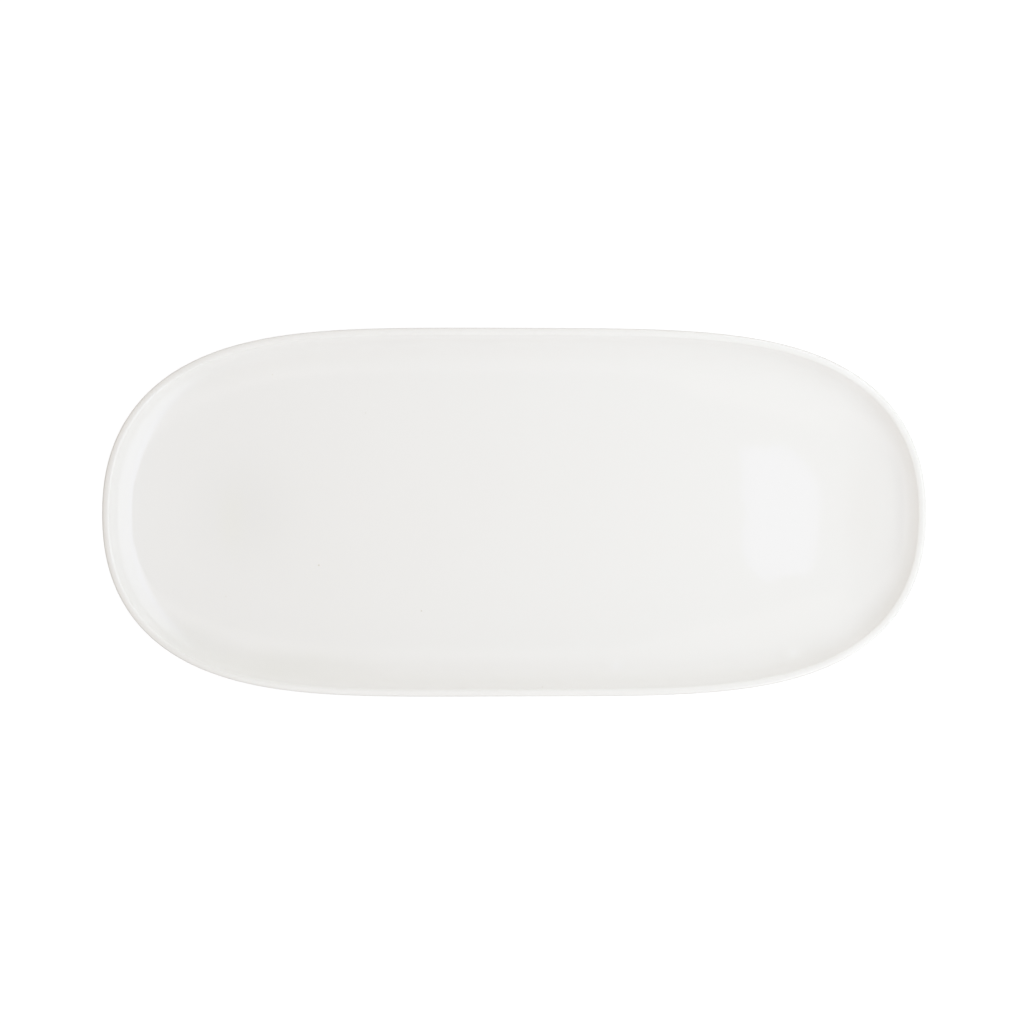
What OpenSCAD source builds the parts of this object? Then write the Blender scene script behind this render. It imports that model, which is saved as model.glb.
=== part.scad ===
// A long porcelain serving plate with a soft-cornered outline, a rolled lip and a shallow well.
// It stands on a low foot ring. The ring's toe is bare and all the rest is glazed.
// The origin is on the table under the middle of the plate, with the length along X.

/* [Outline] */
// Length over the lip, end to end
plate_length = 380; // [320:5:440]
// Width over the lip, side to side
plate_width = 170; // [140:5:210]
// Power of the outline along the length, higher for longer straight sides
length_power = 4.13; // [3.4:0.01:4.8]
// Power of the outline across the width, higher for blunter ends
width_power = 2.24; // [2.05:0.01:2.6]

/* [Section] */
// Height of the lip's crest above the table
plate_height = 20.5; // [19:0.5:28]
// Thickness of the rolled lip, glaze included
lip_thick = 3.6; // [2.8:0.1:4.4]
// Radius of the lip's tight inner corner
lip_corner = 1.3; // [0.9:0.1:1.6]
// Angle of the wall to the table where it leaves the lip
lip_lean = 66; // [55:1:74]
// Thickness of the floor, glaze included
floor_thick = 5.1; // [4:0.1:6]
// Fall of the long, slow sweep from the wall to the middle of the floor
sweep_fall = 4.2; // [2.5:0.1:5]
// Power of that sweep, higher for a flatter middle
sweep_power = 3.5; // [2.5:0.1:5]

/* [Foot ring] */
// Height of the recess under the middle of the floor
foot_height = 4.6; // [4.4:0.1:6]
// Inset of the ring's outer root from the plate's outline
foot_inset = 27; // [22:1:34]
// Width of the ring at its root
foot_root = 7; // [5.5:0.1:9]
// Slant of each flank, from root to toe
foot_flare = 1.1; // [0.6:0.1:1.4]
// Rounding of the toe's two edges
toe_round = 0.8; // [0.4:0.1:1]

/* [Glaze] */
// Thickness of the glaze
glaze_thick = 0.3; // [0.2:0.05:0.45]
// Height above the table where the glaze is wiped off the foot
glaze_line = 1.6; // [1.2:0.1:2.2]
// Reach of the glaze that pools in the corner between the foot and the underside
glaze_pool = 1.8; // [1:0.1:2.2]

/* [Hidden] */

half_length = plate_length / 2;
half_width = plate_width / 2;

// Facets round the outline, and stations from the lip to the foot and from the foot to the middle
outline_facets = 80;
wall_stations = 7;
floor_stations = 3;
// Crowding of the wall's stations towards the lip, as a power
station_power = 1.8;
// Facets of the pooled glaze and of the toe's rounding
pool_facets = 3;
toe_facets = 2;
// How far the foot is made too long before its toe is cut flat
overrun = 1;

// Shares of the half width where insets turn from even ones into drawn-in copies of the outline
even_share = 0.2;
drawn_share = 0.75;
// Share of the half width that is left as the flat middle
middle_share = 0.08;

// The lip has a tight inner corner, a flatter outer face and a round underside
lip_radius = lip_thick / 2;
crest_angle = 90;
outer_angle = 180;
shoulder_angle = crest_angle - lip_lean;
lip_angles = [
    (shoulder_angle + crest_angle) / 2,
    crest_angle,
    crest_angle + (outer_angle - crest_angle) / 3,
    outer_angle - (outer_angle - crest_angle) / 3,
    outer_angle
];

// The well starts at the lip's inner shoulder and falls by a short wall and a long sweep
floor_level = foot_height + floor_thick;
start_inset = lip_radius * (1 + sin(lip_lean));
start_level = plate_height - lip_corner * (1 - cos(lip_lean));
sweep_reach = half_width - start_inset;
sweep_slope = sweep_power * sweep_fall / sweep_reach;
wall_fall = start_level - floor_level - sweep_fall;
wall_run = wall_fall / (tan(lip_lean) - sweep_slope);

// Centres of the lip's inner corner and outer face, as inset and height. The outer face is a
// quarter of an ellipse, from the crest out and down to the widest line.
crest_inset = start_inset - lip_corner * sin(lip_lean);
corner_centre = [crest_inset, plate_height - lip_corner];
outer_centre = [crest_inset, start_level - lip_radius * cos(lip_lean)];
outer_size = [crest_inset, plate_height - outer_centre.y];

// The foot's two roots, and the stations of the section, from the lip to the middle
OUTER = -1;
INNER = 1;
foot_inner_inset = foot_inset + foot_root;
middle_inset = half_width * (1 - middle_share);
wall_insets = [
    for (i = [0:wall_stations])
        start_inset + (foot_inset - start_inset) * pow(i / wall_stations, station_power)
];
recess_insets = [
    for (i = [0:floor_stations])
        foot_inner_inset + (middle_inset - foot_inner_inset) * i / floor_stations
];
all_insets = concat(wall_insets, recess_insets);

function mix(from, to, share) = from + (to - from) * share;
function reversed(list) = [for (i = [len(list) - 1:-1:0]) list[i]];
function without_last(list) = [for (i = [0:len(list) - 2]) list[i]];
function without_first(list) = [for (i = [1:len(list) - 1]) list[i]];
function signed_power(value, power) = sign(value) * pow(abs(value), power);
function eased(value) = value * value * (3 - 2 * value);
function clamped(value) = max(0, min(1, value));

// A point of the plate's outline seen from above, and the direction out of it
function outline_at(turn) = [
    half_length * signed_power(cos(turn), 2 / length_power),
    half_width * signed_power(sin(turn), 2 / width_power)
];
function outward_at(turn) =
    let (
        steepness = [
            signed_power(cos(turn), 2 - 2 / length_power) * length_power / half_length,
            signed_power(sin(turn), 2 - 2 / width_power) * width_power / half_width
        ]
    )
    steepness / norm(steepness);

// The same point moved in. Near the lip the inset is even, and towards the middle it is drawn in.
function ring_point(turn, inset) =
    let (
        edge = outline_at(turn),
        even = edge - inset * outward_at(turn),
        drawn = [
            edge.x * (half_length - inset) / half_length,
            edge.y * (half_width - inset) / half_width
        ],
        share = clamped((inset / half_width - even_share) / (drawn_share - even_share))
    )
    mix(even, drawn, eased(share));

// The section: level and slope of the well's glazed face at an inset, and the face's direction
function well_level(inset) =
    floor_level
    + wall_fall * exp(-(inset - start_inset) / wall_run)
    + sweep_fall * pow(1 - (inset - start_inset) / sweep_reach, sweep_power);
function well_slope(inset) =
    wall_fall / wall_run * exp(-(inset - start_inset) / wall_run)
    + sweep_slope * pow(1 - (inset - start_inset) / sweep_reach, sweep_power - 1);
function well_normal(inset) =
    let (slope = well_slope(inset))
    [slope, 1] / norm([slope, 1]);
function below_well(inset, depth) = [inset, well_level(inset)] - depth * well_normal(inset);

// Whole thickness of the plate, which grows from the lip to the foot
function thick_at(inset) =
    mix(lip_thick, floor_thick, clamped((inset - start_inset) / (foot_inset - start_inset)));

// The point of the lip's glazed face that looks in a direction
function lip_point(angle) =
    let (facing = [cos(angle), sin(angle)])
    angle <= crest_angle
        ? corner_centre + lip_corner * facing
        : outer_centre + stretched(stretched(facing, outer_size), outer_size)
            / norm(stretched(facing, outer_size));
function stretched(spot, sizes) = [spot.x * sizes.x, spot.y * sizes.y];

// The three stretches of a face that lies at a depth under the glazed surface
function well_face(depth) = [for (inset = reversed(all_insets)) below_well(inset, depth)];
function lip_face(depth) = [
    for (angle = lip_angles) lip_point(angle) - depth * [cos(angle), sin(angle)]
];
function under_face(insets, depth) = [
    for (inset = insets) below_well(inset, thick_at(inset) - depth)
];

// The foot: each side runs straight from its root on the fired body to its toe on the table
function root_inset(side) = side == OUTER ? foot_inset : foot_inner_inset;
function root(side) =
    let (inset = root_inset(side))
    below_well(inset, thick_at(inset) - glaze_thick);
function flank(side, level, coat = 0) = [
    root(side).x - side * foot_flare * (1 - level / root(side).y) + side * coat,
    level
];

// The glazed face from the underside round the pooled corner, as a curve through three points
function pooled_face(side) =
    let (
        inset = root_inset(side) + side * glaze_pool,
        under = below_well(inset, thick_at(inset)),
        corner = flank(side, root(side).y - glaze_thick, glaze_thick),
        down = flank(side, corner.y - glaze_pool, glaze_thick)
    )
    [for (i = [0:pool_facets]) curve_point(under, corner, down, i / pool_facets)];
function curve_point(from, bend, to, share) = mix(mix(from, bend, share), mix(bend, to, share), share);

// The toe's rounded edge, from the flank to the table
function toe_face(side) =
    let (
        toe = flank(side, 0),
        above = flank(side, toe_round),
        beside = toe + [-side * toe_round, 0]
    )
    [for (i = [0:toe_facets]) curve_point(above, toe, beside, i / toe_facets)];

// Sweeps a closed section round the outline. A capped one starts and ends at the middle.
module swept(section, capped) {
    count = len(section);
    bands = capped ? count - 1 : count;
    points = [
        for (place = section)
            for (k = [0:outline_facets - 1])
                let (spot = ring_point(k * 360 / outline_facets, place.x))
                [spot.x, spot.y, place.y]
    ];
    sides = [
        for (j = [0:bands - 1])
            for (k = [0:outline_facets - 1])
                for (face = band_faces(section, j, (j + 1) % count, k, (k + 1) % outline_facets))
                    face
    ];
    top_cap = [for (k = [outline_facets - 1:-1:0]) k];
    bottom_cap = [for (k = [0:outline_facets - 1]) (count - 1) * outline_facets + k];
    polyhedron(points, concat(sides, capped ? [top_cap, bottom_cap] : []), convexity = 6);
}

// Two triangles between two stations. The split follows the places, so touching solids agree.
function band_faces(section, j, next_j, k, next_k) =
    let (
        a = j * outline_facets + k,
        b = j * outline_facets + next_k,
        c = next_j * outline_facets + next_k,
        d = next_j * outline_facets + k,
        step = section[next_j] - section[j],
        moves_out = step.x < 0 || (step.x == 0 && step.y < 0)
    )
    moves_out ? [[a, b, c], [a, c, d]] : [[a, b, d], [b, c, d]];

// The fired body: floor, wall and lip in one casting, under its glaze
module dish_body() {
    color("whitesmoke")
        swept(
            concat(
                well_face(glaze_thick),
                lip_face(glaze_thick),
                under_face(all_insets, glaze_thick)
            ),
            capped = true
        );
}

// The low ring that the plate stands on, with its toe cut flat
module foot_ring() {
    land = [flank(OUTER, 0).x + toe_round, flank(INNER, 0).x - toe_round];
    color("linen")
        difference() {
            swept(
                concat(
                    [root(INNER), root(OUTER), flank(OUTER, glaze_line)],
                    without_last(toe_face(OUTER)),
                    [[land[0], -overrun], [land[1], -overrun]],
                    reversed(without_last(toe_face(INNER))),
                    [flank(INNER, glaze_line)]
                ),
                capped = false
            );
            translate([-half_length, -half_width, -plate_height])
                cube([plate_length, plate_width, plate_height]);
        }
}

// The glaze over the well, the lip, the underside and the foot's outer flank
module glaze_coat() {
    color("white")
        swept(
            concat(
                well_face(0),
                lip_face(0),
                under_face(without_last(wall_insets), 0),
                pooled_face(OUTER),
                [flank(OUTER, glaze_line, glaze_thick), flank(OUTER, glaze_line)],
                reversed(under_face(wall_insets, glaze_thick)),
                reversed(lip_face(glaze_thick)),
                reversed(well_face(glaze_thick))
            ),
            capped = true
        );
}

// The glaze inside the foot ring, on the underside and the ring's inner flank
module recess_glaze() {
    color("snow")
        swept(
            concat(
                reversed(under_face(recess_insets, glaze_thick)),
                [flank(INNER, glaze_line), flank(INNER, glaze_line, glaze_thick)],
                reversed(pooled_face(INNER)),
                under_face(without_first(recess_insets), 0)
            ),
            capped = true
        );
}

dish_body();
foot_ring();
glaze_coat();
recess_glaze();
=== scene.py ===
import bpy
import math
import numpy as np
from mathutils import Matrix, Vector


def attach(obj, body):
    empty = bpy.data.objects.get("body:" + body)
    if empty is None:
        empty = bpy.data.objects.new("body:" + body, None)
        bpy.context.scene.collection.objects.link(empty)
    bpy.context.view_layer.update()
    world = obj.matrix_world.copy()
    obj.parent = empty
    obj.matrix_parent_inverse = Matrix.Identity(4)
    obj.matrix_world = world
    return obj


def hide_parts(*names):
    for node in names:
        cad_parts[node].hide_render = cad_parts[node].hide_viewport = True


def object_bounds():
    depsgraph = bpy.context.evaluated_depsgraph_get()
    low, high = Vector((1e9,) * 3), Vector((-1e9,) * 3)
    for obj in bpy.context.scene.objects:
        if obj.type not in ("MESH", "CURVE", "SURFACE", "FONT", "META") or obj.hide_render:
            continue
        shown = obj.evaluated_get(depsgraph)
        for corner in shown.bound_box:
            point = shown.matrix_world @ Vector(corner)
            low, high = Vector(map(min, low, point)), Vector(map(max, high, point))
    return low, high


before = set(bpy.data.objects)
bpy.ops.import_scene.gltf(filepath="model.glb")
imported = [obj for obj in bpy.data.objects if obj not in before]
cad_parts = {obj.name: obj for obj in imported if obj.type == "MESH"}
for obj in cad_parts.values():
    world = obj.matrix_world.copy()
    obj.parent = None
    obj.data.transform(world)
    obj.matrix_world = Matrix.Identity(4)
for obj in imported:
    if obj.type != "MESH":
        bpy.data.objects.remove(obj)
cadLow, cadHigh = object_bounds()
print("frame loaded, plate", [round(high - low, 4) for low, high in zip(cadLow, cadHigh)])

mm = 0.001
scene = bpy.context.scene
scene.view_settings.view_transform = "Standard"

# The plate seen from above, and its section from the lip to the middle. Sizes are the CAD's.
plate = {
    "halfLength": cadHigh.x,
    "halfWidth": cadHigh.y,
    "height": cadHigh.z,
    "lengthPower": 4.13,
    "widthPower": 2.24,
    "evenShare": 0.2,  # insets are even up to here, as a share of the half width
    "drawnShare": 0.75,  # and copies of the outline drawn in from here on
    "lipThick": 3.6 * mm,
    "lipLean": math.radians(66),
    "lipCorner": 1.3 * mm,  # radius of the lip's tight inner corner
    "floorThick": 5.1 * mm,
    "sweepFall": 4.2 * mm,
    "sweepPower": 3.5,
    "glazeThick": 0.3 * mm,
    "turns": 400,  # facets round the outline
    "tracing": 6000,  # points that a quarter of the outline is measured with
    "onAxis": 1e-9,  # what counts as lying on the middle line
    "middleGap": 0.4 * mm,  # half width of the last ring, along the middle line
}

foot = {
    "height": 4.6 * mm,
    "inset": 27 * mm,
    "rootWidth": 7 * mm,
    "flare": 1.1 * mm,
    "toeRound": 0.8 * mm,
    "glazeLine": 1.6 * mm,
    "pool": 1.8 * mm,
    "outer": -1,  # the sign of the inset away from each flank
    "inner": 1,
}

# What the kiln does to the shape: a bow along the length, one end wider, a softer lip towards
# the other end, shallow swells of the floor and two pimples on the rim. The swells' numbers come
# from a least-squares fit to the outline of the light's reflection.
firing = {
    "softCrest": 1.1 * mm,  # how far in from the outline the crest of the softer lip lies
    "softSpan": (0.01, 0.12),  # where along x the lip turns into the softer one
    "bow": 0.85 * mm,  # how far the ends lie towards -Y of the middle
    "taper": 0.007,  # how much wider the -X end is than the middle
    "swells": [  # each one's x, y, radius and rise in mm; the last two are the pimples
        (122, 21, 13, -0.052), (128, -12, 13, -0.0385), (113, -27, 13, -0.0226),
        (134, 15, 13, -0.0112), (122, -32, 10, -0.0158), (118, 38, 10, -0.0026),
        (98, 30, 6, 0.033), (104, 0, 6, -0.012), (107, -9, 6, -0.001), (113, 27, 6, -0.0135),
        (104, -18, 6, 0.0038), (44.4, -71.2, 3.2, 0.32), (126.8, -66.2, 3.3, 0.5),
    ],
}

# the lip: an underside round about lipCentre, an oval outer face, and a tight inner corner
lipRadius = plate["lipThick"] / 2
leanSine, leanCosine = math.sin(plate["lipLean"]), math.cos(plate["lipLean"])
startInset = lipRadius * (1 + leanSine)
startLevel = plate["height"] - plate["lipCorner"] * (1 - leanCosine)
lipCentre = np.array([lipRadius, startLevel - lipRadius * leanCosine])
crestInset = startInset - plate["lipCorner"] * leanSine
floorLevel = foot["height"] + plate["floorThick"]
sweepReach = plate["halfWidth"] - startInset
sweepSlope = plate["sweepPower"] * plate["sweepFall"] / sweepReach
wallFall = startLevel - floorLevel - plate["sweepFall"]
wallRun = wallFall / (math.tan(plate["lipLean"]) - sweepSlope)
footInnerInset = foot["inset"] + foot["rootWidth"]
middleInset = plate["halfWidth"] - plate["middleGap"]


def meshObject(name, points, faces):
    mesh = bpy.data.meshes.new(name)
    mesh.from_pydata(points, [], faces)
    item = bpy.data.objects.new(name, mesh)
    scene.collection.objects.link(item)
    return item


def evenOutline():
    # points of the outline at even steps along it, and the direction out at each
    quarter = np.linspace(0, math.pi / 2, plate["tracing"])
    across = np.sin(quarter) ** (2 / plate["widthPower"])
    along = np.cos(quarter) ** (2 / plate["lengthPower"])
    x = plate["halfLength"] * along
    y = plate["halfWidth"] * across
    run = np.concatenate([[0], np.cumsum(np.hypot(np.diff(x), np.diff(y)))])
    turns = plate["turns"] // 4
    angle = np.interp(np.arange(turns + 1) / turns * run[-1], run, quarter)
    angle = np.concatenate([angle[:-1], math.pi - angle[:0:-1]])
    angle = np.concatenate([angle, angle + math.pi])
    cosine, sine = np.cos(angle), np.sin(angle)
    cosine[np.abs(cosine) < plate["onAxis"]] = 0
    sine[np.abs(sine) < plate["onAxis"]] = 0
    edge = np.stack([
        plate["halfLength"] * np.sign(cosine) * np.abs(cosine) ** (2 / plate["lengthPower"]),
        plate["halfWidth"] * np.sign(sine) * np.abs(sine) ** (2 / plate["widthPower"]),
    ], axis=1)
    steep = np.stack([
        np.sign(cosine) * np.abs(cosine) ** (2 - 2 / plate["lengthPower"])
        * plate["lengthPower"] / plate["halfLength"],
        np.sign(sine) * np.abs(sine) ** (2 - 2 / plate["widthPower"])
        * plate["widthPower"] / plate["halfWidth"],
    ], axis=1)
    return edge, steep / np.linalg.norm(steep, axis=1, keepdims=True)


outlineEdge, outlineOut = evenOutline()


def easeBetween(value, start, end):
    # 0 up to the start and 1 from the end on, smoothly
    share = np.clip((value - start) / (end - start), 0, 1)
    return share * share * (3 - 2 * share)


def ringAt(inset):
    # the outline moved in: evenly near the lip, and drawn in towards the middle line
    halves = np.array([plate["halfLength"], plate["halfWidth"]])
    even = outlineEdge - inset * outlineOut
    drawn = outlineEdge * (halves - inset) / halves
    share = easeBetween(inset / plate["halfWidth"], plate["evenShare"], plate["drawnShare"])
    return even + (drawn - even) * share


def wellPoint(inset, depth):
    # a point at that depth under the well's glazed face
    gone = (inset - startInset) / sweepReach
    fade = math.exp(-(inset - startInset) / wallRun)
    level = floorLevel + wallFall * fade + plate["sweepFall"] * (1 - gone) ** plate["sweepPower"]
    slope = wallFall / wallRun * fade + sweepSlope * (1 - gone) ** (plate["sweepPower"] - 1)
    normal = np.array([slope, 1]) / math.hypot(slope, 1)
    return np.array([inset, level]) - depth * normal


def thickAt(inset):
    share = min(1, max(0, (inset - startInset) / (foot["inset"] - startInset)))
    return plate["lipThick"] + (plate["floorThick"] - plate["lipThick"]) * share


def underPoint(inset, cover):
    # a point of the underside, where cover is what is left below it
    return wellPoint(inset, thickAt(inset) - cover)


def crowded(start, end, count, power=1):
    # insets from start to end that crowd towards the start, or are even if the power is 1
    return [start + (end - start) * (i / count) ** power for i in range(count + 1)]


def cornerHalves(crest):
    # half width and half height of the oval inner corner that runs from the crest to the wall
    width = startInset - crest
    ratio = (plate["height"] - startLevel) / width
    flatness = ratio * math.sqrt(leanSine / (leanSine - 2 * ratio * leanCosine))
    half = width * math.hypot(leanSine, flatness * leanCosine) / leanSine
    return np.array([half, half * flatness])


def lipPoint(angle, depth, crest):
    # where the lip faces that way: its inner corner, its outer face or its underside
    facing = np.array([math.cos(angle), math.sin(angle)])
    if angle <= math.pi / 2:
        halves = cornerHalves(crest)
        centre = np.array([crest, plate["height"] - halves[1]])
    elif angle <= math.pi:
        halves = np.array([crest, plate["height"] - lipCentre[1]])
        centre = np.array([crest, lipCentre[1]])
    else:
        halves = np.array([lipRadius, lipRadius])
        centre = lipCentre
    return centre + halves ** 2 * facing / np.linalg.norm(halves * facing) - depth * facing


def lipFace(depth, count, crest):
    start = math.pi / 2 - plate["lipLean"]
    return [lipPoint(start + math.pi * i / count, depth, crest) for i in range(1, count)]


def rootOf(side):
    inset = foot["inset"] if side == foot["outer"] else footInnerInset
    return underPoint(inset, plate["glazeThick"])


def flankAt(side, level, coat=0):
    root = rootOf(side)
    return np.array([root[0] - side * foot["flare"] * (1 - level / root[1]) + side * coat, level])


def curveThrough(start, bend, end, count):
    # an arc-like curve, tangent to both legs of a corner
    places = []
    for i in range(count + 1):
        share = i / count
        first = start + (bend - start) * share
        second = bend + (end - bend) * share
        places.append(first + (second - first) * share)
    return places


def pooledFace(side, count):
    # from the underside, round the corner that the glaze fills, and down the flank
    inset = (foot["inset"] if side == foot["outer"] else footInnerInset) + side * foot["pool"]
    corner = flankAt(side, rootOf(side)[1] - plate["glazeThick"], plate["glazeThick"])
    down = flankAt(side, corner[1] - foot["pool"], plate["glazeThick"])
    return curveThrough(underPoint(inset, 0), corner, down, count)


def glazeEnd(side, count):
    # the rounded edge where the glaze was wiped off, from its face to the flank
    bead = plate["glazeThick"]
    above = flankAt(side, foot["glazeLine"] + bead, bead)
    corner = flankAt(side, foot["glazeLine"], bead)
    return curveThrough(above, corner, flankAt(side, foot["glazeLine"]), count)


def toeFace(side, count):
    toe = flankAt(side, 0)
    beside = toe + np.array([-side * foot["toeRound"], 0])
    return curveThrough(flankAt(side, foot["toeRound"]), toe, beside, count)


def firedShape(points):
    # the same small warps for every piece, so that their faces still meet
    x, y = points[:, 0].copy(), points[:, 1].copy()
    along = x / plate["halfLength"]
    points[:, 1] = y * (1 - firing["taper"] * along) + firing["bow"] * (0.5 - along ** 2)
    for swell in firing["swells"]:
        middleX, middleY, radius, rise = (value * mm for value in swell)
        points[:, 2] += rise * np.exp(-((x - middleX) ** 2 + (y - middleY) ** 2) / radius ** 2)
    return points


def ringsOf(section):
    # the section's places carried round the outline
    return np.concatenate([
        np.column_stack([ringAt(inset), np.full(plate["turns"], level)]) for inset, level in section
    ])


def sweepSection(name, sectionFor, capped):
    # carries a closed section round the outline; a capped one starts and ends at the middle
    count = plate["turns"]
    section = sectionFor(crestInset)
    rings = len(section)
    points = ringsOf(section)
    soften = easeBetween(points[:, :1], *firing["softSpan"])
    points += (ringsOf(sectionFor(firing["softCrest"])) - points) * soften
    points = firedShape(points)
    faces = []
    for j in range(rings - 1 if capped else rings):
        nextJ = (j + 1) % rings
        for k in range(count):
            nextK = (k + 1) % count
            faces.append((j * count + nextK, j * count + k, nextJ * count + k, nextJ * count + nextK))
    if capped:
        for base, flip in ((0, False), ((rings - 1) * count, True)):
            for k in range(count // 2):  # a ladder of faces across the middle line
                low, nextLow = base + k, base + k + 1
                high, nextHigh = base + (count - k) % count, base + count - k - 1
                rung = list(dict.fromkeys([low, nextLow, nextHigh, high]))  # a triangle at both ends
                faces.append(rung[::-1] if flip else rung)
    piece = meshObject(name, points.tolist(), faces)
    piece.data.shade_smooth()
    piece.data.validate()
    piece.data.update()
    return piece


class Wire:
    # an output socket that reads as a number in a sum
    def __init__(self, bench, socket):
        self.bench = bench
        self.socket = socket

    def join(self, operation, *values):
        inputs = dict(enumerate(values))
        return self.bench.add("ShaderNodeMath", {"operation": operation}, inputs)

    def __add__(self, other):
        return self.join("ADD", self, other)

    def __radd__(self, other):
        return self.join("ADD", other, self)

    def __sub__(self, other):
        return self.join("SUBTRACT", self, other)

    def __rsub__(self, other):
        return self.join("SUBTRACT", other, self)

    def __mul__(self, other):
        return self.join("MULTIPLY", self, other)

    def __rmul__(self, other):
        return self.join("MULTIPLY", other, self)

    def __abs__(self):
        return self.join("ABSOLUTE", self)


class Bench:
    # the node tree of one material, or of the world
    def __init__(self, owner):
        self.owner = owner
        owner.use_nodes = True
        self.tree = owner.node_tree
        self.tree.nodes.clear()

    def add(self, kind, settings=None, inputs=None, output=None):
        node = self.tree.nodes.new(kind)
        for key, value in (settings or {}).items():
            setattr(node, key, value)
        for key, value in (inputs or {}).items():
            socket = self.find(node.inputs, key)
            if isinstance(value, Wire):
                self.tree.links.new(value.socket, socket)
            else:
                socket.default_value = value
        if not node.outputs:
            return node
        return Wire(self, self.find(node.outputs, 0 if output is None else output))

    def find(self, sockets, key):
        shown = [socket for socket in sockets if socket.enabled]
        return shown[key] if isinstance(key, int) else next(s for s in shown if s.name == key)

    def place(self):
        # where the shaded point is on the object, in metres
        return self.add("ShaderNodeTexCoord", output="Object")

    def axis(self, name):
        return self.add("ShaderNodeSeparateXYZ", None, {"Vector": self.place()}, name)

    def noise(self, size, detail=2, roughness=0.5):
        # noise with features of that size, in metres
        return self.add("ShaderNodeTexNoise", None, {
            "Vector": self.place(), "Scale": 1 / size, "Detail": detail, "Roughness": roughness,
        }, output="Fac")

    def ease(self, value, start, end):
        # 0 at the start and 1 at the end, smoothly; the start may be the larger
        low, high = min(start, end), max(start, end)
        share = self.add("ShaderNodeMapRange", {"interpolation_type": "SMOOTHSTEP"}, {
            "Value": value, "From Min": low, "From Max": high,
        })
        return share if start < end else 1 - share

    def blend(self, factor, first, second, mode="MIX"):
        settings = {"data_type": "RGBA", "blend_type": mode}
        return self.add("ShaderNodeMix", settings, {"Factor": factor, "A": first, "B": second})

    def surface(self, shader):
        # ends the material with that shader
        self.add("ShaderNodeOutputMaterial", None, {"Surface": shader})
        return self.owner


def glazedPorcelain(name, look):
    bench = Bench(bpy.data.materials.new(name))
    cloud = bench.noise(look["cloudSize"], detail=3)
    colour = bench.blend(cloud, look["colour"], look["cloudColour"])
    # each entry multiplies the colour inside a soft oval: the broad ones paint shade where the tint is
    # below 1 and light where it is above 1; the small ones are iron specks
    for x, y, halfX, halfY, tint in look["paintedShadingAndSpecks"]:
        away = bench.add("ShaderNodeVectorMath", {"operation": "SUBTRACT"}, {
            0: bench.place(), 1: (x * mm, y * mm, 0),
        })
        away = bench.add("ShaderNodeVectorMath", {"operation": "MULTIPLY"}, {
            0: away, 1: (1 / (halfX * mm), 1 / (halfY * mm), 0),
        })
        away = bench.add("ShaderNodeVectorMath", {"operation": "LENGTH"}, {0: away}, "Value")
        colour = bench.blend(bench.ease(away, 1, 0), colour, (*tint, 1), "MULTIPLY")
    swell = bench.noise(look["swellSize"], detail=1) * look["swellHeight"]
    peel = bench.noise(look["peelSize"]) * look["peelHeight"]
    bump = bench.add("ShaderNodeBump", None, {"Strength": 1, "Distance": 1, "Height": swell + peel})
    roughness = look["roughness"] + bench.noise(look["smearSize"]) * look["smear"]
    shader = bench.add("ShaderNodeBsdfPrincipled", None, {
        "Base Color": colour,
        "Roughness": roughness,
        "IOR": look["ior"],
        "Normal": bump,
    })
    return bench.surface(shader)


def barePorcelain(name, look):
    bench = Bench(bpy.data.materials.new(name))
    grain = bench.noise(look["grainSize"], detail=4, roughness=0.7)
    colour = bench.blend(grain, look["colour"], look["grainColour"])
    bump = bench.add("ShaderNodeBump", None, {
        "Strength": 1, "Distance": 1, "Height": grain * look["grainHeight"],
    })
    shader = bench.add("ShaderNodeBsdfPrincipled", None, {
        "Base Color": colour,
        "Roughness": look["roughness"] + grain * look["roughShare"],
        "Normal": bump,
    })
    return bench.surface(shader)


glazeLook = {
    "colour": (0.876, 0.868, 0.845, 1),
    "cloudColour": (0.882, 0.875, 0.855, 1),
    "cloudSize": 60 * mm,
    "swellSize": 14 * mm,
    "swellHeight": 0.004 * mm,
    "peelSize": 4 * mm,
    "peelHeight": 0.0003 * mm,
    "roughness": 0.012,
    "smear": 0.004,
    "smearSize": 30 * mm,
    "ior": 1.5,
    "paintedShadingAndSpecks": [  # eight broad tints, set where the brightness missed the photo's: six darken as painted shade and the two at x 159 lighten as painted light; then iron specks. Each: x, y, half width and half height in mm, and the tint
        # x, y, half width and half height in mm, and the tint
        (-124, 2, 34, 36, (0.977, 0.979, 0.977)),
        (-131, -3, 10, 24, (1.0, 1.0, 0.985)),
        (-105, -70, 62, 12, (0.974, 0.976, 0.964)),
        (-153, -60, 36, 17, (0.970, 0.972, 0.966)),
        (-145, 66, 36, 14, (0.985, 0.985, 0.983)),
        (163, 0, 16, 50, (0.982, 0.979, 0.975)),
        (159, -60, 22, 15, (1.028, 1.03, 1.034)),
        (159, 60, 20, 13, (1.018, 1.02, 1.024)),
        (-90.6, -24.2, 0.55, 0.55, (0.74, 0.70, 0.60)),
        (-43.0, -45.4, 0.5, 0.5, (0.76, 0.73, 0.66)),
        (-68.9, 46.4, 0.5, 0.4, (0.86, 0.84, 0.80)),
        (-112.0, 64.1, 0.5, 0.45, (0.90, 0.88, 0.84)),
        (13.0, -80.3, 0.45, 0.45, (0.88, 0.86, 0.82)),
        (-133.7, -38.7, 0.45, 0.45, (0.92, 0.90, 0.86)),
    ],
}
recessLook = dict(
    glazeLook, roughness=0.06, peelHeight=0.002 * mm, colour=(0.86, 0.85, 0.83, 1), paintedShadingAndSpecks=[],
)
bodyLook = {
    "colour": (0.83, 0.82, 0.79, 1),
    "grainColour": (0.79, 0.775, 0.745, 1),
    "grainSize": 0.6 * mm,
    "grainHeight": 0.02 * mm,
    "roughness": 0.55,
    "roughShare": 0.3,
}
footLook = dict(bodyLook, colour=(0.80, 0.785, 0.75, 1), grainColour=(0.70, 0.68, 0.64, 1))

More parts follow.
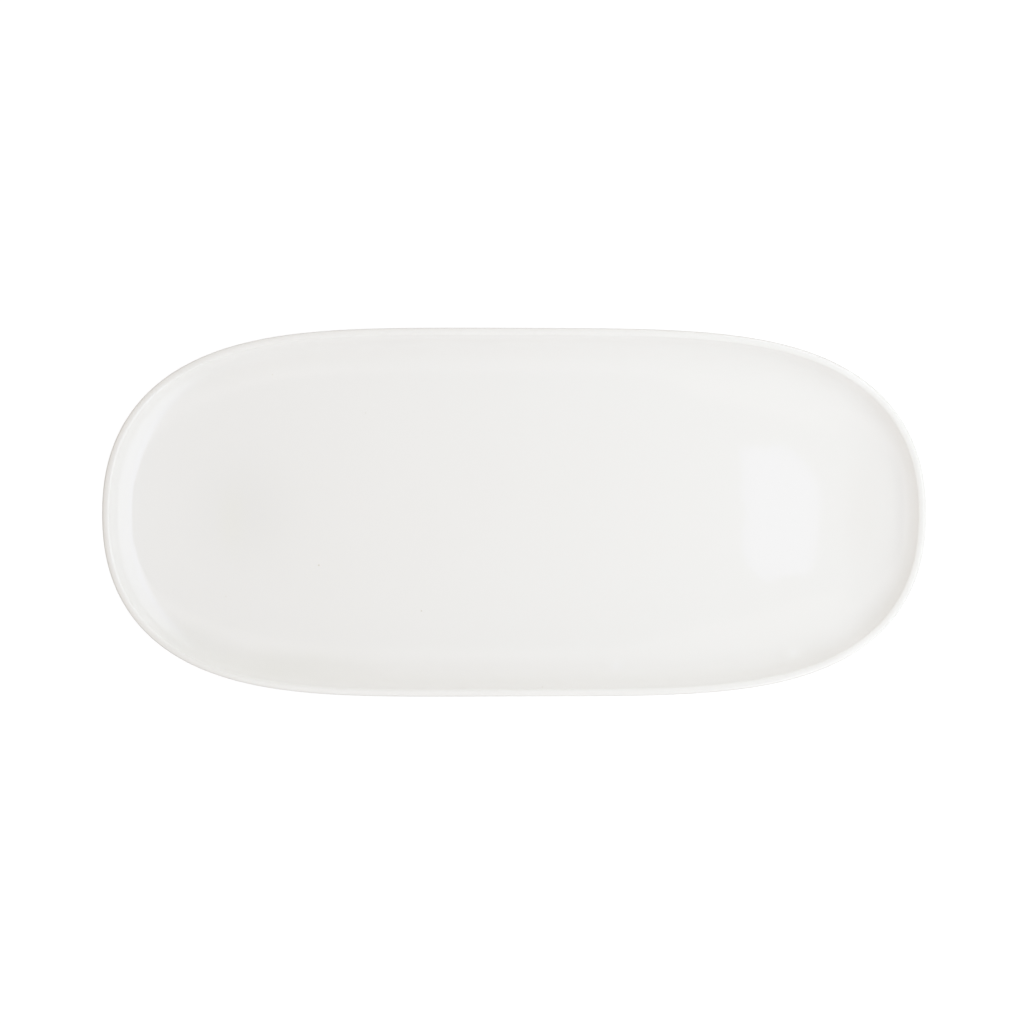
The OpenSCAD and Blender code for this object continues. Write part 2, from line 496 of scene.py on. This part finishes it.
steps = {  # how many steps each stretch of the section has; of a pair, the second is for hidden faces
    "well": (72, 36),
    "wall": (30, 15),
    "recess": (24, 12),
    "lip": (24, 10),
    "pool": 8,
    "wipedEdge": 4,
    "toe": 5,
    "wellCrowding": 1.5,
    "wallCrowding": 1.4,
}

coat = plate["glazeThick"]
fineWell, plainWell = (
    crowded(startInset, middleInset, count, steps["wellCrowding"]) for count in steps["well"]
)
fineWall = crowded(startInset, foot["inset"] - foot["pool"], steps["wall"][0], steps["wallCrowding"])
plainWall = crowded(startInset, foot["inset"], steps["wall"][1], steps["wallCrowding"])
fineRecess = crowded(footInnerInset + foot["pool"], middleInset, steps["recess"][0])
plainRecess = crowded(footInnerInset, middleInset, steps["recess"][1])


def dishSection(crest):
    section = [wellPoint(inset, coat) for inset in plainWell[::-1]]
    section += lipFace(coat, steps["lip"][1], crest)
    return section + [underPoint(inset, coat) for inset in plainWall + plainRecess]


def glazeSection(crest):
    section = [wellPoint(inset, 0) for inset in fineWell[::-1]]
    section += lipFace(0, steps["lip"][0], crest)
    section += [underPoint(inset, 0) for inset in fineWall[:-1]]
    section += pooledFace(foot["outer"], steps["pool"])
    section += glazeEnd(foot["outer"], steps["wipedEdge"])
    section += [underPoint(inset, coat) for inset in plainWall[::-1]]
    section += lipFace(coat, steps["lip"][1], crest)[::-1]
    return section + [wellPoint(inset, coat) for inset in plainWell]


def recessSection(_crest):  # this section and the next have no lip, so the crest doesn't matter
    section = [underPoint(inset, coat) for inset in plainRecess[::-1]]
    section += glazeEnd(foot["inner"], steps["wipedEdge"])[::-1]
    section += pooledFace(foot["inner"], steps["pool"])[::-1]
    return section + [underPoint(inset, 0) for inset in fineRecess[1:]]


def footSection(_crest):
    section = [rootOf(foot["inner"]), rootOf(foot["outer"])]
    section += [flankAt(foot["outer"], foot["glazeLine"])]
    section += toeFace(foot["outer"], steps["toe"])
    section += toeFace(foot["inner"], steps["toe"])[::-1]
    return section + [flankAt(foot["inner"], foot["glazeLine"])]


pieces = {  # each node's name, section, whether it closes at the middle, material and slot
    "dish_body": ("dishBody", dishSection, True, barePorcelain("firedBody", bodyLook), "fired_body"),
    "foot_ring": ("footRing", footSection, False, barePorcelain("bareFoot", footLook), "bare_foot"),
    "glaze_coat": (
        "glazeCoat", glazeSection, True, glazedPorcelain("clearGlaze", glazeLook), "clear_glaze",
    ),
    "recess_glaze": (
        "recessGlaze", recessSection, True, glazedPorcelain("recessGlaze", recessLook), "recess_glaze",
    ),
}
for node, (name, sectionFor, capped, material, slot) in pieces.items():
    piece = sweepSection(name, sectionFor, capped)
    piece.data.materials.append(material)
    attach(piece, "root")
    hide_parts(node)
    print("made", piece.name, len(piece.data.polygons), "faces")

# The studio was invented to light the plate as in the photo. The colours of the air, the glows, the
# fills, the board over the plate and, rounded, the screens come from least-squares fits to the
# photo's brightness.
studio = {
    "floorReach": 6.0,
    "floorLevel": -0.05 * mm,
    "backdropRise": 12.0,
    "backdropGlow": 1.02,
    "floorGlow": 0.86,
    "floorColour": (0.25, 0.25, 0.25, 1),
    "mattRoughness": 0.9,  # of the floor and the table
    "noLight": (0, 0, 0, 1),
    "airColour": (0.618, 0.549, 0.502, 1),  # the room's even light
    "glows": [  # the brighter sides of the room: where, colour, and start and end as cosines
        ((-1.0, 0.0, 0.05), (0.212, 0.223, 0.200, 1), (0.3, 1.0)),
        ((0.0, -1.0, 0.05), (0.204, 0.278, 0.314, 1), (0.3, 1.0)),
        ((0.0, 1.0, 0.05), (0.051, 0.119, 0.096, 1), (0.3, 1.0)),
    ],
    "groundColour": (0.30, 0.28, 0.26, 1),  # below the horizon
    "groundEdge": (-0.12, 0.0),
    "tableLevel": -0.1 * mm,
    "tableDim": (0.16, 0.155, 0.145, 1),  # painted shade: what the table gives back on the -X side
    "tableBright": (0.85, 0.86, 0.86, 1),  # painted light: and on the +X side
    "tableSpan": (-0.3, 0.3),
    "screens": [  # upright screens beyond the +X end, whose light comes back from the glaze:
        # place in x, heights where it starts and is full, heights where it is full and ends, colour
        (0.1905, (0.84, 0.90), (1.15, 1.7), (0.22, 0.29, 0.68, 1)),
        (0.1915, (0.28, 0.34), (0.84, 0.90), (1.1, 1.2, 1.4, 1)),
        (0.1925, (0.10, 0.16), (0.28, 0.34), (0.95, 1.0, 1.1, 1)),
        (0.35, (1.205, 1.28), (1.75, 2.9), (1.0, 1.1, 1.2, 1)),
    ],
    "screenReach": 1.0,
    "screenSides": (0.9, 0.3),
    "fills": [  # soft lights that only brighten: where, how large, and colour
        ((0.5, 0.0, 0.6), (0.8, 0.8), (0.565, 0.648, 0.722)),
        ((0.9, 0.0, 0.3), (0.8, 0.5), (0.954, 1.108, 1.106)),
        ((0.0, -0.9, 0.9), (0.8, 0.8), (0.601, 0.825, 1.088)),
        ((0.0, -0.9, 0.3), (0.8, 0.5), (0.987, 0.883, 0.853)),
        ((0.0, 0.9, 0.9), (0.8, 0.8), (0.957, 1.190, 1.439)),
        ((0.0, 0.9, 0.3), (0.8, 0.5), (0.691, 0.568, 0.632)),
    ],
    "flagCorners": [  # the dark board over the plate, which the camera doesn't see
        (0.185, -0.052), (0.185, 0.05), (0.14, 0.06), (0.1, 0.1), (0.075, 0.128), (-0.09, 0.127),
        (-0.15, 0.115), (-0.7, 0.2), (-0.7, -0.25), (-0.12, -0.148), (0.06, -0.15), (0.105, -0.125),
        (0.135, -0.067),
    ],
    "flagHeight": 1.2,
    "flagColour": (0.288, 0.244, 0.211, 1),
    "flagEndColour": (0.108, 0.074, 0.061, 1),  # towards its -X end
    "flagFade": (-0.25, -0.08),
    "strips": [  # light beyond the board's long edges: where in y it is full and ends, and colour
        (0.13, 0.3, (0.18, 0.19, 0.19, 1)),
        (-0.15, -0.32, (0.14, 0.145, 0.145, 1)),
    ],
    "stripHeight": 1.21,
    "stripEnds": ((-0.4, -0.2), (0.15, 0.0)),
}


def makeSheet(name, corners, height):
    # a level sheet of the studio
    sheet = meshObject(name, [(x, y, height) for x, y in corners], [range(len(corners))])
    return sheet


def hideFrom(item, *rays):
    for ray in rays:
        setattr(item, "visible_" + ray, False)


def squareCorners():
    reach = studio["floorReach"]
    return [(-reach, -reach), (reach, -reach), (reach, reach), (-reach, reach)]


def makeFloor():
    floor = makeSheet("floor", squareCorners(), studio["floorLevel"])
    bench = Bench(bpy.data.materials.new("paleFloor"))
    shader = bench.add("ShaderNodeBsdfPrincipled", None, {
        "Base Color": studio["floorColour"],
        "Roughness": studio["mattRoughness"],
        "Specular IOR Level": 0,
        "Emission Color": (1, 1, 1, 1),
        "Emission Strength": studio["floorGlow"],
    })
    floor.data.materials.append(bench.surface(shader))
    hideFrom(floor, "diffuse", "glossy")


def makeBackdrop():
    # four white walls far round the floor, which only the camera sees
    points = [(x, y, z) for z in (0, studio["backdropRise"]) for x, y in squareCorners()]
    walls = [(k, (k + 1) % 4, (k + 1) % 4 + 4, k + 4) for k in range(4)]
    backdrop = meshObject("backdrop", points, walls)
    bench = Bench(bpy.data.materials.new("whiteBackdrop"))
    glow = bench.add("ShaderNodeEmission", None, {"Strength": studio["backdropGlow"]})
    bench.owner.cycles.emission_sampling = "NONE"
    backdrop.data.materials.append(bench.surface(glow))
    hideFrom(backdrop, "diffuse", "glossy", "transmission", "shadow")


def makeFlag():
    flag = makeSheet("cameraFlag", studio["flagCorners"], studio["flagHeight"])
    bench = Bench(bpy.data.materials.new("dimBoard"))
    fade = bench.ease(bench.axis("X"), *studio["flagFade"])
    colour = bench.blend(fade, studio["flagEndColour"], studio["flagColour"])
    glow = bench.add("ShaderNodeEmission", None, {"Color": colour, "Strength": 1})
    flag.data.materials.append(bench.surface(glow))
    hideFrom(flag, "camera", "diffuse", "shadow")


def glowWhenReflected(sheet, bench, share, colour):
    # light that only reflections see, added to whatever lies behind it
    light = bench.blend(share, studio["noLight"], colour)
    glow = bench.add("ShaderNodeEmission", None, {"Color": light, "Strength": 1})
    clear = bench.add("ShaderNodeBsdfTransparent")
    both = bench.add("ShaderNodeAddShader", None, {0: glow, 1: clear})
    sheet.data.materials.append(bench.surface(both))
    bench.owner.cycles.emission_sampling = "NONE"
    hideFrom(sheet, "camera", "diffuse", "shadow", "transmission")


def makeStrip(name, full, end, colour):
    west, east = studio["stripEnds"]
    corners = [(west[0], full), (east[0], full), (east[0], end), (west[0], end)]
    strip = makeSheet(name, corners, studio["stripHeight"])
    bench = Bench(bpy.data.materials.new(name))
    along = bench.axis("X")
    across = bench.axis("Y")
    away = across if full > 0 else 0 - across
    share = bench.ease(away, abs(end), abs(full))
    share = share * bench.ease(along, *west) * bench.ease(along, *east)
    glowWhenReflected(strip, bench, share, colour)


def makeScreen(name, place, rise, fall, colour):
    reach = studio["screenReach"]
    corners = [(-reach, rise[0]), (reach, rise[0]), (reach, fall[1]), (-reach, fall[1])]
    screen = meshObject(name, [(place, y, z) for y, z in corners], [range(len(corners))])
    bench = Bench(bpy.data.materials.new(name))
    height = bench.axis("Z")
    share = bench.ease(height, *rise) * bench.ease(height, *fall[::-1])
    share = share * bench.ease(abs(bench.axis("Y")), *studio["screenSides"])
    glowWhenReflected(screen, bench, share, colour)


def makeTable():
    # what light from the floor the plate gets: a grey sheet that the camera doesn't see, its colour
    # graded from painted shade at -X to painted light at +X
    table = makeSheet("tableTop", squareCorners(), studio["tableLevel"])
    bench = Bench(bpy.data.materials.new("tableGrey"))
    share = bench.ease(bench.axis("X"), *studio["tableSpan"])
    colour = bench.blend(share, studio["tableDim"], studio["tableBright"])
    shader = bench.add("ShaderNodeBsdfPrincipled", None, {
        "Base Color": colour, "Roughness": studio["mattRoughness"], "Specular IOR Level": 0,
    })
    table.data.materials.append(bench.surface(shader))
    hideFrom(table, "camera", "shadow")


def makeWorld():
    world = bpy.data.worlds.new("studioAir")
    scene.world = world
    bench = Bench(world)
    towards = bench.add("ShaderNodeTexCoord", output="Generated")
    light = studio["airColour"]
    for middle, colour, span in studio["glows"]:
        middle = Vector(middle).normalized()
        settings = {"operation": "DOT_PRODUCT"}
        near = bench.add("ShaderNodeVectorMath", settings, {0: towards, 1: middle}, "Value")
        share = bench.ease(near, *span)
        light = bench.blend(share, light, colour, "ADD")
    height = bench.add("ShaderNodeSeparateXYZ", None, {"Vector": towards}, "Z")
    light = bench.blend(bench.ease(height, *studio["groundEdge"]), studio["groundColour"], light)
    sky = bench.add("ShaderNodeBackground", None, {"Color": light, "Strength": 1})
    bench.add("ShaderNodeOutputWorld", None, {"Surface": sky})


def makePanel(name, centre, size, colour):
    # a soft light that faces the plate, with an energy in proportion to its area
    lamp = bpy.data.lights.new(name, "AREA")
    lamp.shape = "RECTANGLE"
    lamp.size, lamp.size_y = size
    lamp.energy = math.pi * size[0] * size[1]
    lamp.color = colour
    panel = bpy.data.objects.new(name, lamp)
    scene.collection.objects.link(panel)
    panel.location = centre
    panel.rotation_euler = (-Vector(centre)).to_track_quat("-Z", "Y").to_euler()
    hideFrom(panel, "glossy")


camera = {
    "distance": 1.6,
    "frameWidth": 472.4 * mm,  # what the frame spans at the lip's height
    "sensor": 36,
    "shiftX": -1.0 * mm,
    "shiftY": 0.48 * mm,
    "farthest": 20,
}


def makeCamera():
    lens = bpy.data.cameras.new("photoCamera")
    lens.sensor_width = camera["sensor"]
    lens.lens = camera["sensor"] * camera["distance"] / camera["frameWidth"]
    holder = bpy.data.objects.new("photoCamera", lens)
    scene.collection.objects.link(holder)
    holder.location = (camera["shiftX"], camera["shiftY"], lipCentre[1] + camera["distance"])
    lens.clip_end = camera["farthest"]
    scene.camera = holder


makeFloor()
makeBackdrop()
makeFlag()
makeWorld()
for number, screen in enumerate(studio["screens"]):
    makeScreen("screen" + str(number), *screen)
makeTable()
for number, strip in enumerate(studio["strips"]):
    makeStrip("strip" + str(number), *strip)
for number, panel in enumerate(studio["fills"]):
    makePanel("fill" + str(number), *panel)
makeCamera()
print("studio set")
